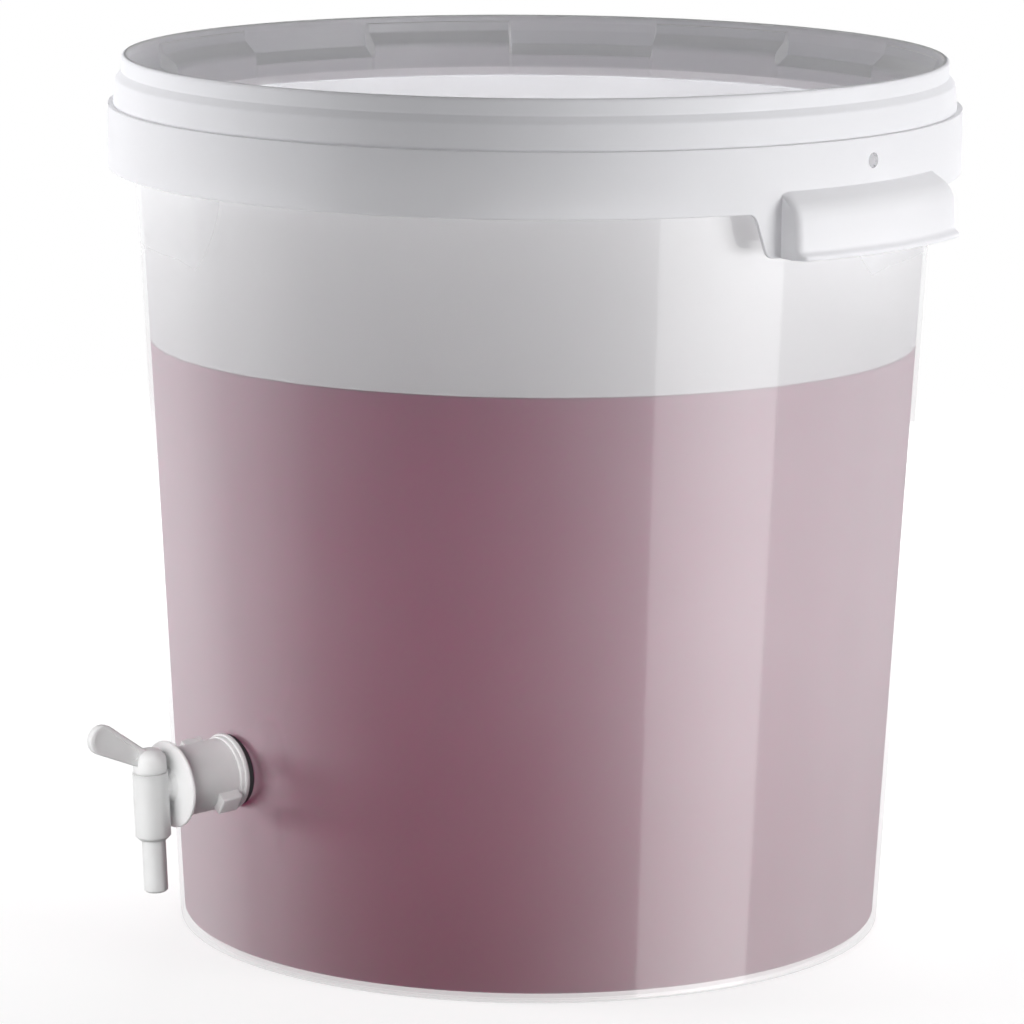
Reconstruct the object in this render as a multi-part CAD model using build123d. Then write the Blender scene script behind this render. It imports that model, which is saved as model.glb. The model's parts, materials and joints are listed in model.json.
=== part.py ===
from build123d import *
import math
import os

# Fermentation bucket with a hand tap. Millimetres and degrees.
# Origin at the centre of the base, +Z up, the tap points towards -Y.

# Driving dimensions of the tub
BUCKET_HEIGHT = 380.0
BASE_RADIUS = 154.0
WALL_DRAFT = 3.15
WALL = 2.0
FLOOR = 2.4
FLOOR_ROUND = 3.0
FOOT_HEIGHT = 1.4
FOOT_WIDTH = 4.0
FOOT_ROUND = 1.2

# Rim: lip, stepped band, ledge and hanging skirt, depths measured down from the lip
LIP_OVERHANG = 3.1
LIP_THICKNESS = 3.0
LIP_ROUND = 1.3
LIP_BAND = 7.0
STEP_OUT = 2.5
STEP_DROP = 3.0
STEP_ROUND = 2.0
BAND_FLARE = 1.5
LEDGE_DEPTH = 20.7
LEDGE_WIDTH = 2.0
LEDGE_ROUND = 0.5
SKIRT_DEPTH = 48.0
SKIRT_WALL = 2.0
SKIRT_ROUND = 0.7

# Stacking ring and its pockets inside the rim, depths measured down from the lip
RING_STEP = 4.9
RING_FOOT_DEPTH = 28.0
RING_JOG = 5.0
RING_TOP_DEPTH = 12.5
RING_ROUND = 4.0
CREASE_IN = 2.0
POCKET_COUNT = 8
POCKET_SPAN = 22.5
POCKET_SHOULDER_DEPTH = 13.0
POCKET_LEAN = 1.0
POCKET_FOOT_DEPTH = 17.5

# Hooded hand grips, moulded on the skirt, depths measured down from the lip
GRIP_FROM_TAP = 101.35
GRIP_SPAN = 32.1
GRIP_TOP_DEPTH = 39.5
GRIP_FOLD_DEPTH = 46.0
GRIP_FOOT_DEPTH = 66.5
GRIP_REACH = 10.5
GRIP_LEAN = 1.0
GRIP_FOLD_ROUND = 12.0
GRIP_WALL = 2.2
GRIP_CORNER = 4.0
GRIP_BEAD_OUT = 2.4
GRIP_BEAD_HEIGHT = 1.8
GRIP_BEAD_BLEND = 1.6
WEB_WIDTH_TOP = 126.1
WEB_WIDTH_FOOT = 114.1
WEB_ROUND = 4.0
SKIRT_HOLE_RADIUS = 3.2
SKIRT_HOLE_DEPTH = 30.4

# Wall fitting of the tap
TAP_HEIGHT = 85.3
SEAL = 2.0
SEAL_RADIUS = 15.4
INNER_SEAL = 2.5
INNER_SEAL_RADIUS = 19.2
STEM_RADIUS = 12.5
STEM_END = 1.0
COLLAR_LENGTH = 27.4
COLLAR_RADIUS = 14.7
COLLAR_FLANGE_RADIUS = 16.2
COLLAR_FLANGE = 2.2
COLLAR_SHOULDER_RADIUS = 15.4
COLLAR_SHOULDER = 2.0
COLLAR_BORE = 8.0
LUG_COUNT = 2
LUG_TURN = 124.0
LUG_START = 1.0
LUG_REACH = 3.8
LUG_WIDTH = 8.5
LUG_LENGTH = 9.5
LUG_ROUND = 1.0
NUT_FLANGE_RADIUS = 20.5
NUT_FLANGE = 2.5
NUT_HEIGHT = 6.0
NUT_HEX_RADIUS = 17.5

# Tap body
TAP_SEAL = 1.5
TAP_SEAL_RADIUS = 14.3
TAIL_RADIUS = 10.0
TAIL_LENGTH = 18.0
FLOW_RADIUS = 3.0
DISC_RADIUS = 18.5
DISC = 1.6
DISC_ROUND = 0.6
NECK_RADIUS = 5.6
BARREL_REACH = 10.5
BARREL_RADIUS = 7.5
BARREL_ABOVE = 7.2
BARREL_BELOW = 21.8
BARREL_CHAMFER = 1.6

# Turning key of the tap
PLUG_RADIUS = 5.4
PORT_RADIUS = 2.6
SPOUT_RADIUS = 5.05
SPOUT_LENGTH = 22.8
SPOUT_CHAMFER = 0.8
DOME_RADIUS = 7.05
DOME_HEIGHT = 10.0
DOME_ROUND = 5.5
LEVER_TIP_OUT = 22.9
LEVER_TIP_RISE = 18.1
LEVER_TIP_RADIUS = 6.4
LEVER_ROOT_OUT = 5.0
LEVER_ROOT_RISE = 7.0
LEVER_ROOT_RADIUS = 4.0
LEVER_THICKNESS = 3.4
LEVER_BORDER = 2.0
LEVER_RECESS = 0.8
LEVER_ROUND = 0.6
LEVER_FACE_START = 0.2
O_RING_SECTION = 1.2
SNAP_REACH = 0.4
SNAP_HEIGHT = 1.2
SNAP_ABOVE_FOOT = 3.6
STOP_TURN = 90.0
STOP_TAB_SPAN = 30.0
STOP_TAB_HEIGHT = 1.5
STOP_TAB_REACH = 0.75

# Small edge rounds of the moulded fittings
EDGE_ROUND = 0.55

# Clearances
SEAT_GAP = 0.25
HOLE_CLEARANCE = 0.3
THREAD_CLEARANCE = 0.1
RUNNING_CLEARANCE = 0.05
KEY_GAP = 0.15
STOP_PLAY = 1.0

# Heights of the rim's features
DRAFT_SLOPE = math.tan(math.radians(WALL_DRAFT))
FLOOR_TOP = FOOT_HEIGHT + FLOOR
CREASE_Z = BUCKET_HEIGHT - LIP_BAND
STEP_Z = CREASE_Z - STEP_DROP
LEDGE_Z = BUCKET_HEIGHT - LEDGE_DEPTH
SKIRT_Z = BUCKET_HEIGHT - SKIRT_DEPTH
RING_FOOT_Z = BUCKET_HEIGHT - RING_FOOT_DEPTH
RING_TOP_Z = BUCKET_HEIGHT - RING_TOP_DEPTH
POCKET_SHOULDER_Z = BUCKET_HEIGHT - POCKET_SHOULDER_DEPTH
POCKET_FOOT_Z = BUCKET_HEIGHT - POCKET_FOOT_DEPTH
GRIP_TOP_Z = BUCKET_HEIGHT - GRIP_TOP_DEPTH
GRIP_FOLD_Z = BUCKET_HEIGHT - GRIP_FOLD_DEPTH
GRIP_FOOT_Z = BUCKET_HEIGHT - GRIP_FOOT_DEPTH
SKIRT_CUT_Z = GRIP_FOOT_Z - SKIRT_WALL


def wall_outside(height):
    """Outer radius of the conical wall at a height."""
    return BASE_RADIUS + DRAFT_SLOPE * height


def wall_inside(height):
    """Inner radius of the conical wall at a height."""
    return wall_outside(height) - WALL


# Radii of the rim's features
LIP_OUT = wall_outside(BUCKET_HEIGHT) + LIP_OVERHANG
LIP_IN = LIP_OUT - LIP_THICKNESS
BAND_TOP_OUT = LIP_OUT + STEP_OUT
BAND_FOOT_OUT = BAND_TOP_OUT + BAND_FLARE
SKIRT_OUT = BAND_FOOT_OUT + LEDGE_WIDTH
SKIRT_IN = SKIRT_OUT - SKIRT_WALL
SKIRT_MIDDLE = SKIRT_OUT - SKIRT_WALL / 2
RING_IN = wall_inside(RING_FOOT_Z) - RING_STEP
RING_OUT = RING_IN + WALL
RING_MIDDLE = RING_IN + WALL / 2
CREASE_R = LIP_IN - CREASE_IN
POCKET_SHOULDER_R = LIP_IN - POCKET_LEAN
GRIP_FRONT = SKIRT_OUT + GRIP_REACH
GRIP_FOOT_FRONT = GRIP_FRONT + GRIP_LEAN

# Stations along the tap's axis, measured outwards from the outside of the wall
NUT_FACE = -(WALL + INNER_SEAL)
STEM_FOOT = NUT_FACE - NUT_FLANGE - NUT_HEIGHT - STEM_END
COLLAR_END = SEAL + COLLAR_LENGTH
DISC_BACK = COLLAR_END + TAP_SEAL
BARREL_AXIS = DISC_BACK + BARREL_REACH
TAIL_END = DISC_BACK - TAIL_LENGTH

# Heights along the barrel's axis, measured up from the tap's axis
BARREL_BORE = PLUG_RADIUS + RUNNING_CLEARANCE
DOME_FOOT = BARREL_ABOVE + KEY_GAP
SPOUT_END = -BARREL_BELOW - SPOUT_LENGTH
O_RING_GROOVE = O_RING_SECTION + 2 * RUNNING_CLEARANCE
O_RING_HEIGHT = PORT_RADIUS + O_RING_GROOVE
SNAP_FOOT = -BARREL_BELOW + SNAP_ABOVE_FOOT

# Frames of the tap: the fitting's axis is square to the wall, the barrel's axis lies along the wall
TAP_OUTWARDS = Vector(0, -1, 0).rotate(Axis.X, WALL_DRAFT)
TAP_UPWARDS = Vector(0, 0, 1).rotate(Axis.X, WALL_DRAFT)
TAP_SEAT = Vector(0, -wall_outside(TAP_HEIGHT), TAP_HEIGHT)
TAP_PLANE = Plane(TAP_SEAT, x_dir=(1, 0, 0), z_dir=TAP_OUTWARDS)
BARREL_PLANE = Plane(TAP_SEAT + TAP_OUTWARDS * BARREL_AXIS, x_dir=(1, 0, 0), z_dir=TAP_UPWARDS)


def section(corners):
    """Closed face in the XZ plane from (radius, height) or (radius, height, corner round) entries."""
    points = [(corner[0], 0, corner[1]) for corner in corners]
    rounds = [corner[2] if len(corner) == 3 else 0 for corner in corners]
    return make_face(FilletPolyline(*points, radius=rounds, close=True))


def turned(corners):
    """Solid of revolution about Z."""
    return revolve(section(corners), Axis.Z, 360)


def sector(corners, middle, span):
    """Part of a turn about Z, centred on an angle from +X."""
    return Rot(0, 0, middle - span / 2) * revolve(section(corners), Axis.Z, span)


def ring(inner, outer, low, high):
    """Plain ring about Z."""
    return turned([(inner, low), (outer, low), (outer, high), (inner, high)])


def rod(radius, low, high):
    """Plain rod about Z."""
    return ring(0, radius, low, high)


def tub():
    """Floor, conical wall, jog, stacking ring, lip and hanging skirt as one revolved shell."""
    jog_lift = WALL * (math.hypot(RING_STEP, RING_JOG) - RING_JOG) / RING_STEP
    slope_run = CREASE_R - RING_IN
    slope_rise = CREASE_Z - RING_TOP_Z
    slope_drop = WALL * (math.hypot(slope_run, slope_rise) - slope_rise) / slope_run
    slope_foot = RING_TOP_Z - slope_drop
    cavity_top_in = RING_OUT + (STEP_Z - slope_foot) * slope_run / slope_rise
    foot_in = BASE_RADIUS - FOOT_WIDTH
    return turned([
        (0, FOOT_HEIGHT),
        (foot_in, FOOT_HEIGHT),
        (foot_in, 0),
        (BASE_RADIUS, 0, FOOT_ROUND),
        (wall_outside(RING_FOOT_Z + jog_lift), RING_FOOT_Z + jog_lift),
        (RING_OUT, RING_FOOT_Z + RING_JOG + jog_lift),
        (RING_OUT, slope_foot),
        (cavity_top_in, STEP_Z),
        (BAND_TOP_OUT - SKIRT_WALL, STEP_Z),
        (BAND_FOOT_OUT - SKIRT_WALL, LEDGE_Z - SKIRT_WALL),
        (SKIRT_IN, LEDGE_Z - SKIRT_WALL),
        (SKIRT_IN, SKIRT_CUT_Z),
        (SKIRT_OUT, SKIRT_CUT_Z),
        (SKIRT_OUT, LEDGE_Z, LEDGE_ROUND),
        (BAND_FOOT_OUT, LEDGE_Z),
        (BAND_TOP_OUT, STEP_Z, STEP_ROUND),
        (LIP_OUT, CREASE_Z),
        (LIP_OUT, BUCKET_HEIGHT, LIP_ROUND),
        (LIP_IN, BUCKET_HEIGHT, LIP_ROUND),
        (CREASE_R, CREASE_Z),
        (RING_IN, RING_TOP_Z, RING_ROUND),
        (RING_IN, RING_FOOT_Z + RING_JOG),
        (wall_inside(RING_FOOT_Z), RING_FOOT_Z),
        (wall_inside(FLOOR_TOP), FLOOR_TOP, FLOOR_ROUND),
        (0, FLOOR_TOP),
    ])


def pocket_angles():
    """Middle angle of each stacking pocket, counted from the first grip."""
    pitch = 360 / POCKET_COUNT
    first = grip_angle() + pitch - POCKET_SPAN / 2
    return [first + pitch * number for number in range(POCKET_COUNT)]


def pocket_shell(middle):
    """Material that stands behind one stacking pocket."""
    side_walls = 2 * math.degrees(math.asin(WALL / RING_OUT))
    return sector([
        (RING_MIDDLE, POCKET_FOOT_Z - WALL),
        (RING_MIDDLE, RING_TOP_Z),
        (CREASE_R + WALL / 2, CREASE_Z - WALL / 2),
        (LIP_IN + WALL, STEP_Z),
        (POCKET_SHOULDER_R + WALL, POCKET_SHOULDER_Z - WALL / 2),
        (RING_OUT, POCKET_FOOT_Z - WALL),
    ], middle, POCKET_SPAN + side_walls)


def pocket_space(middle):
    """Space of one stacking pocket, open towards the bucket's inside."""
    open_side = RING_IN - RING_STEP
    return sector([
        (open_side, POCKET_FOOT_Z),
        (RING_IN, POCKET_FOOT_Z),
        (POCKET_SHOULDER_R, POCKET_SHOULDER_Z),
        (LIP_IN, CREASE_Z),
        (LIP_IN, BUCKET_HEIGHT - LIP_ROUND),
        (open_side, BUCKET_HEIGHT - LIP_ROUND),
    ], middle, POCKET_SPAN)


def grip_angle():
    """Angle of the first grip from +X; the tap is at -90 degrees."""
    return GRIP_FROM_TAP - 90


def trim_skirt(body):
    """Cut the long skirt so that it hangs low only beside the two grips, and round its outer edge."""
    top = WEB_WIDTH_TOP / 2
    foot = WEB_WIDTH_FOOT / 2
    far = 2 * SKIRT_OUT
    below = SKIRT_CUT_Z - SKIRT_WALL
    outline = FilletPolyline(
        (-far, SKIRT_Z), (-top, SKIRT_Z), (-foot, GRIP_FOOT_Z), (foot, GRIP_FOOT_Z),
        (top, SKIRT_Z), (far, SKIRT_Z), (far, below), (-far, below),
        radius=[0, WEB_ROUND, WEB_ROUND, WEB_ROUND, WEB_ROUND, 0, 0, 0],
        close=True,
    )
    across = extrude(Plane.YZ * make_face(outline), amount=far, both=True)
    hanging = ring(SKIRT_IN - SKIRT_WALL, SKIRT_OUT + SKIRT_WALL, below, SKIRT_Z + SKIRT_WALL)
    body = body - Rot(0, 0, grip_angle()) * (across & hanging)
    lower_edge = []
    for edge in body.edges():
        points = [edge.position_at(part) for part in (0, 0.5, 1)]
        radii = [math.hypot(point.X, point.Y) for point in points]
        under = max(point.Z for point in points) < SKIRT_Z + SKIRT_ROUND
        along = max(radii) - min(radii) < SEAT_GAP
        if under and along and min(radii) > SKIRT_MIDDLE:
            lower_edge.append(edge)
    return fillet(lower_edge, SKIRT_ROUND)


def grip_hood(middle):
    """Solid hood of a grip with rounded corners and the bead along its lower edge."""
    hood = sector([
        (SKIRT_MIDDLE, GRIP_FOOT_Z),
        (SKIRT_MIDDLE, GRIP_TOP_Z),
        (SKIRT_OUT, GRIP_TOP_Z),
        (GRIP_FRONT, GRIP_FOLD_Z, GRIP_FOLD_ROUND),
        (GRIP_FOOT_FRONT, GRIP_FOOT_Z),
    ], 0, GRIP_SPAN)
    ends = [face for face in hood.faces().filter_by(GeomType.PLANE) if face.normal_at().Z > -SEAT_GAP]
    corners = []
    for edge in ends[0].edges() + ends[1].edges():
        middle_point = edge.position_at(0.5)
        outside = math.hypot(middle_point.X, middle_point.Y) > SKIRT_OUT
        if outside and middle_point.Z > GRIP_FOOT_Z + SEAT_GAP:
            corners.append(edge)
    hood = fillet(corners, GRIP_CORNER)
    bead_span = GRIP_SPAN - 2 * math.degrees(GRIP_CORNER / GRIP_FRONT)
    bead = sector([
        (GRIP_FOOT_FRONT - GRIP_WALL / 2, GRIP_FOOT_Z),
        (GRIP_FOOT_FRONT + GRIP_BEAD_OUT, GRIP_FOOT_Z, EDGE_ROUND),
        (GRIP_FOOT_FRONT + GRIP_BEAD_OUT, GRIP_FOOT_Z + GRIP_BEAD_HEIGHT, EDGE_ROUND),
        (GRIP_FOOT_FRONT - GRIP_WALL / 2, GRIP_FOOT_Z + GRIP_BEAD_HEIGHT + GRIP_BEAD_BLEND),
    ], 0, bead_span)
    return Rot(0, 0, middle) * (hood + bead)


def grip_space(middle):
    """Finger space under a hood, open below and open towards the wall."""
    open_side = SKIRT_IN - SKIRT_WALL / 2
    below = GRIP_FOOT_Z - GRIP_WALL
    side_walls = 2 * math.degrees(GRIP_WALL / SKIRT_OUT)
    return sector([
        (open_side, below),
        (open_side, GRIP_TOP_Z - GRIP_WALL),
        (SKIRT_OUT, GRIP_TOP_Z - GRIP_WALL),
        (GRIP_FRONT - GRIP_WALL, GRIP_FOLD_Z - GRIP_WALL / 2, GRIP_FOLD_ROUND - GRIP_WALL),
        (GRIP_FOOT_FRONT - GRIP_WALL, below),
    ], middle, GRIP_SPAN - side_walls)


def skirt_hole(middle):
    """Small round hole in the skirt above a grip."""
    height = BUCKET_HEIGHT - SKIRT_HOLE_DEPTH
    across = Plane((SKIRT_MIDDLE, 0, height), z_dir=(1, 0, 0))
    return Rot(0, 0, middle) * (across * rod(SKIRT_HOLE_RADIUS, -SKIRT_WALL, SKIRT_WALL))


def bucket():
    """The one-piece tub with its grips, stacking pockets and the drilled tap hole."""
    body = tub()
    for middle in pocket_angles():
        body = body + pocket_shell(middle)
    for middle in pocket_angles():
        body = body - pocket_space(middle)
    body = trim_skirt(body)
    for middle in (grip_angle(), grip_angle() + 180):
        body = body + grip_hood(middle)
        body = body - grip_space(middle) - skirt_hole(middle)
    tap_hole = TAP_PLANE * rod(STEM_RADIUS + HOLE_CLEARANCE, NUT_FACE, SEAL)
    return body - tap_hole


def wall_cone(outer_gap):
    """Solid cone inside the wall's outer face, grown by a gap."""
    foot = wall_outside(0) + outer_gap
    top = wall_outside(BUCKET_HEIGHT) + outer_gap
    return turned([(0, 0), (foot, 0), (top, BUCKET_HEIGHT), (0, BUCKET_HEIGHT)])


def outer_seal():
    """Rubber washer, flat under the collar's flange and shaped to the wall behind."""
    washer = TAP_PLANE * ring(STEM_RADIUS + HOLE_CLEARANCE, SEAL_RADIUS, -SEAL, SEAL)
    return washer - wall_cone(SEAT_GAP)


def inner_seal():
    """Rubber washer between the inside of the wall and the backing nut."""
    washer = TAP_PLANE * ring(STEM_RADIUS + HOLE_CLEARANCE, INNER_SEAL_RADIUS, NUT_FACE, 0)
    return washer & wall_cone(-WALL - SEAT_GAP)


def collar():
    """Bulkhead collar: stem through the wall, flange, body with gripping lugs and the tap's socket."""
    shoulder = SEAL + COLLAR_FLANGE
    body_foot = shoulder + COLLAR_SHOULDER
    socket = TAIL_RADIUS + THREAD_CLEARANCE
    socket_floor = TAIL_END - STEM_END
    body = turned([
        (COLLAR_BORE, STEM_FOOT),
        (STEM_RADIUS, STEM_FOOT),
        (STEM_RADIUS, SEAL),
        (COLLAR_FLANGE_RADIUS, SEAL, EDGE_ROUND),
        (COLLAR_FLANGE_RADIUS, shoulder, EDGE_ROUND),
        (COLLAR_SHOULDER_RADIUS, shoulder),
        (COLLAR_SHOULDER_RADIUS, body_foot, EDGE_ROUND),
        (COLLAR_RADIUS, body_foot),
        (COLLAR_RADIUS, COLLAR_END, EDGE_ROUND),
        (socket, COLLAR_END),
        (socket, socket_floor),
        (COLLAR_BORE, socket_floor),
    ])
    lug_root = (COLLAR_RADIUS + socket) / 2
    lug_depth = COLLAR_RADIUS + LUG_REACH - lug_root
    lug = Box(LUG_WIDTH, lug_depth, LUG_LENGTH, align=(Align.CENTER, Align.MAX, Align.MIN))
    outer_edges = lug.faces().sort_by(Axis.Y)[-1].edges()
    lug = fillet(outer_edges, LUG_ROUND)
    for number in range(LUG_COUNT):
        turn = Rot(0, 0, -LUG_TURN - number * 360 / LUG_COUNT)
        body = body + turn * Pos(0, COLLAR_RADIUS + LUG_REACH, body_foot + LUG_START) * lug
    return TAP_PLANE * body


def backing_nut():
    """Flanged hexagon nut inside the bucket."""
    flange_low = NUT_FACE - NUT_FLANGE
    bore = STEM_RADIUS + THREAD_CLEARANCE
    flange = turned([
        (0, flange_low),
        (NUT_FLANGE_RADIUS, flange_low, EDGE_ROUND),
        (NUT_FLANGE_RADIUS, NUT_FACE, EDGE_ROUND),
        (0, NUT_FACE),
    ])
    hexagon = extrude(RegularPolygon(NUT_HEX_RADIUS, 6), amount=NUT_HEIGHT)
    nut = flange + Pos(0, 0, flange_low - NUT_HEIGHT) * hexagon
    return TAP_PLANE * (nut - rod(bore, STEM_FOOT, SEAL))


def tap_seal():
    """Flat ring between the collar's end and the tap's disc."""
    return TAP_PLANE * ring(TAIL_RADIUS + HOLE_CLEARANCE, TAP_SEAL_RADIUS, COLLAR_END, DISC_BACK)


def tap_body():
    """Disc, tail, neck and barrel of the tap, bored for the key."""
    disc_front = DISC_BACK + DISC
    stem = turned([
        (0, TAIL_END),
        (TAIL_RADIUS, TAIL_END, DISC_ROUND),
        (TAIL_RADIUS, DISC_BACK),
        (DISC_RADIUS, DISC_BACK, DISC_ROUND),
        (DISC_RADIUS, disc_front, DISC_ROUND),
        (NECK_RADIUS + DISC, disc_front),
        (NECK_RADIUS, disc_front + DISC),
        (NECK_RADIUS, BARREL_AXIS),
        (0, BARREL_AXIS),
    ])
    barrel = turned([
        (0, -BARREL_BELOW),
        (BARREL_RADIUS - BARREL_CHAMFER, -BARREL_BELOW),
        (BARREL_RADIUS, -BARREL_BELOW + BARREL_CHAMFER),
        (BARREL_RADIUS, BARREL_ABOVE, KEY_GAP),
        (0, BARREL_ABOVE),
    ])
    snap_reach = PLUG_RADIUS + SNAP_REACH + THREAD_CLEARANCE
    key_space = rod(BARREL_BORE, -BARREL_BELOW, BARREL_ABOVE)
    snap_space = rod(snap_reach, SNAP_FOOT - KEY_GAP, SNAP_FOOT + SNAP_HEIGHT + KEY_GAP)
    stop_low = BARREL_ABOVE - STOP_TAB_HEIGHT - KEY_GAP
    stop_reach = PLUG_RADIUS + STOP_TAB_REACH + THREAD_CLEARANCE
    stop_space = sector(
        [(0, stop_low), (stop_reach, stop_low), (stop_reach, BARREL_ABOVE), (0, BARREL_ABOVE)],
        -90, STOP_TAB_SPAN + STOP_TURN + 2 * STOP_PLAY,
    )
    flow = TAP_PLANE * rod(FLOW_RADIUS, TAIL_END, BARREL_AXIS)
    body = TAP_PLANE * stem + BARREL_PLANE * barrel
    return body - BARREL_PLANE * (key_space + snap_space + stop_space) - flow


def lever_outline(shrink, start):
    """Teardrop between the lever's root and its round tip, start being how far out the root lies."""
    tip = Vector(LEVER_TIP_OUT, DOME_FOOT + LEVER_TIP_RISE)
    root = Vector(LEVER_ROOT_OUT, DOME_FOOT + LEVER_ROOT_RISE)
    near = root + (tip - root) * start
    near_radius = LEVER_ROOT_RADIUS + (LEVER_TIP_RADIUS - LEVER_ROOT_RADIUS) * start - shrink
    near_circle = Pos(near) * Circle(near_radius)
    tip_circle = Pos(tip) * Circle(LEVER_TIP_RADIUS - shrink)
    return make_hull([near_circle.edge(), tip_circle.edge()])


def lever():
    """Upright paddle with a raised border round both of its faces."""
    upright = Plane((0, 0, 0), x_dir=(0, -1, 0), z_dir=(-1, 0, 0))
    paddle = extrude(upright * lever_outline(0, 0), amount=LEVER_THICKNESS / 2, both=True)
    faces = paddle.faces().sort_by(Axis.X)
    paddle = fillet(faces[0].edges() + faces[-1].edges(), LEVER_ROUND)
    face = upright * lever_outline(LEVER_BORDER, LEVER_FACE_START)
    floor = LEVER_THICKNESS / 2 - LEVER_RECESS
    for side in (-1, 1):
        recess = extrude(face, amount=LEVER_THICKNESS / 2, both=True)
        paddle = paddle - Pos(side * (floor + LEVER_THICKNESS / 2), 0, 0) * recess
    return paddle


def tap_key():
    """Lever, dome, hollow plug with its side port and spout, moulded in one."""
    groove_in = PLUG_RADIUS - O_RING_GROOVE
    groove_half = O_RING_GROOVE / 2
    dome_top = DOME_FOOT + DOME_HEIGHT
    plug = turned([
        (0, SPOUT_END),
        (SPOUT_RADIUS - SPOUT_CHAMFER, SPOUT_END),
        (SPOUT_RADIUS, SPOUT_END + SPOUT_CHAMFER),
        (SPOUT_RADIUS, -BARREL_BELOW),
        (PLUG_RADIUS, -BARREL_BELOW),
        (PLUG_RADIUS, SNAP_FOOT),
        (PLUG_RADIUS + SNAP_REACH, SNAP_FOOT),
        (PLUG_RADIUS + SNAP_REACH, SNAP_FOOT + SNAP_HEIGHT / 2),
        (PLUG_RADIUS, SNAP_FOOT + SNAP_HEIGHT),
        (PLUG_RADIUS, DOME_FOOT),
        (DOME_RADIUS, DOME_FOOT),
        (DOME_RADIUS, dome_top, DOME_ROUND),
        (0, dome_top),
    ])
    for height in (O_RING_HEIGHT, -O_RING_HEIGHT):
        plug = plug - ring(groove_in, BARREL_BORE, height - groove_half, height + groove_half)
    tab_reach = PLUG_RADIUS + STOP_TAB_REACH
    tab_low = BARREL_ABOVE - STOP_TAB_HEIGHT
    tab_top = DOME_FOOT + KEY_GAP
    tab = sector(
        [(FLOW_RADIUS, tab_low), (tab_reach, tab_low), (tab_reach, tab_top), (FLOW_RADIUS, tab_top)],
        -90 - STOP_TURN / 2, STOP_TAB_SPAN,
    )
    bore = rod(FLOW_RADIUS, SPOUT_END, PORT_RADIUS)
    port = Plane((0, 0, 0), z_dir=(1, 0, 0)) * rod(PORT_RADIUS, 0, PLUG_RADIUS + SNAP_REACH)
    return BARREL_PLANE * (plug + tab + lever() - bore - port)


def key_o_ring(height):
    """O-ring in a groove of the plug."""
    section_radius = O_RING_SECTION / 2
    return BARREL_PLANE * Pos(0, 0, height) * Torus(PLUG_RADIUS - O_RING_GROOVE / 2, section_radius)


PIECES = {
    "bucket": bucket(),
    "outer_seal": outer_seal(),
    "collar": collar(),
    "inner_seal": inner_seal(),
    "backing_nut": backing_nut(),
    "tap_seal": tap_seal(),
    "tap_body": tap_body(),
    "tap_key": tap_key(),
    "key_o_ring_upper": key_o_ring(O_RING_HEIGHT),
    "key_o_ring_lower": key_o_ring(-O_RING_HEIGHT),
}

os.makedirs("parts", exist_ok=True)
for name, piece in PIECES.items():
    export_step(piece, f"parts/{name}.step")
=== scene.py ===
import json
import math

import bmesh
import bpy
import numpy as np
from mathutils import Matrix, Vector


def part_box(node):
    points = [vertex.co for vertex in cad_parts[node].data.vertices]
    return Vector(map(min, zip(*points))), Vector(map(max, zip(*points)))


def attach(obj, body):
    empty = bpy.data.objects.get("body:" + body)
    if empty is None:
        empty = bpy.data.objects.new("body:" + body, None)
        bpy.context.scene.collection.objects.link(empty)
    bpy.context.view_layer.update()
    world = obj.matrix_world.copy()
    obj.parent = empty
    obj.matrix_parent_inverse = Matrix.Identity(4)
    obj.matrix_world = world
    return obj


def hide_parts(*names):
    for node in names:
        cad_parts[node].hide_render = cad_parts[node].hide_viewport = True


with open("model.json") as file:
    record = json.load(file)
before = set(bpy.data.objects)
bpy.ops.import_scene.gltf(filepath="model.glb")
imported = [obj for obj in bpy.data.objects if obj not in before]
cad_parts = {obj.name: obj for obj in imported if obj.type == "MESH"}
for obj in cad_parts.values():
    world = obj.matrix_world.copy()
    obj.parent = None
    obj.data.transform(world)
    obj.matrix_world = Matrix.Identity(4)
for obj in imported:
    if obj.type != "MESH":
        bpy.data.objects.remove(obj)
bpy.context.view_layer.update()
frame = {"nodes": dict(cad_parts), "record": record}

# Fermentation bucket with a hand tap: the finish of every piece, the studio light, the floor and the camera.
# Sizes are millimetres in the part's own frame unless a name says otherwise, and MM turns them into metres.
MM = 0.001

# Tub
BUCKET_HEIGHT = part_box("bucket")[1].z / MM
BASE_RADIUS = 154.0
WALL_DRAFT = 3.15
WALL = 2.0
FLOOR_TOP = 3.8
FLOOR_ROUND = 0.8
FOOT_HEIGHT = 1.4
FOOT_WIDTH = 4.0
FOOT_ROUND = 1.2
DRAFT_SLOPE = math.tan(math.radians(WALL_DRAFT))


def wall_outside(height):
    """Outer radius of the conical wall at a height."""
    return BASE_RADIUS + DRAFT_SLOPE * height


def wall_inside(height):
    """Inner radius of the conical wall at a height."""
    return wall_outside(height) - WALL


# Rim, from the lip down
LIP_OUT = wall_outside(BUCKET_HEIGHT) + 3.1
LIP_IN = LIP_OUT - 3.0
LIP_ROUND = 1.3
LIP_DRAFT = 0.2
LIP_TURN_Z = BUCKET_HEIGHT - 2 * LIP_ROUND
CREASE_Z = BUCKET_HEIGHT - 7.0
CREASE_IN = LIP_IN - 2.0
STEP_Z = CREASE_Z - 3.0
STEP_ROUND = 2.0
BAND_TOP_OUT = LIP_OUT + 2.5
BAND_FOOT_OUT = BAND_TOP_OUT + 1.5
LEDGE_Z = BUCKET_HEIGHT - 20.7
LEDGE_ROUND = 0.5
LEDGE_GROOVE = 0.5
SKIRT_WALL = 2.0
SKIRT_OUT = BAND_FOOT_OUT + 2.0
SKIRT_IN = SKIRT_OUT - SKIRT_WALL
SKIRT_Z = BUCKET_HEIGHT - 48.0
SKIRT_ROUND = 0.7
SOFT_CORNER = 0.4

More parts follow.
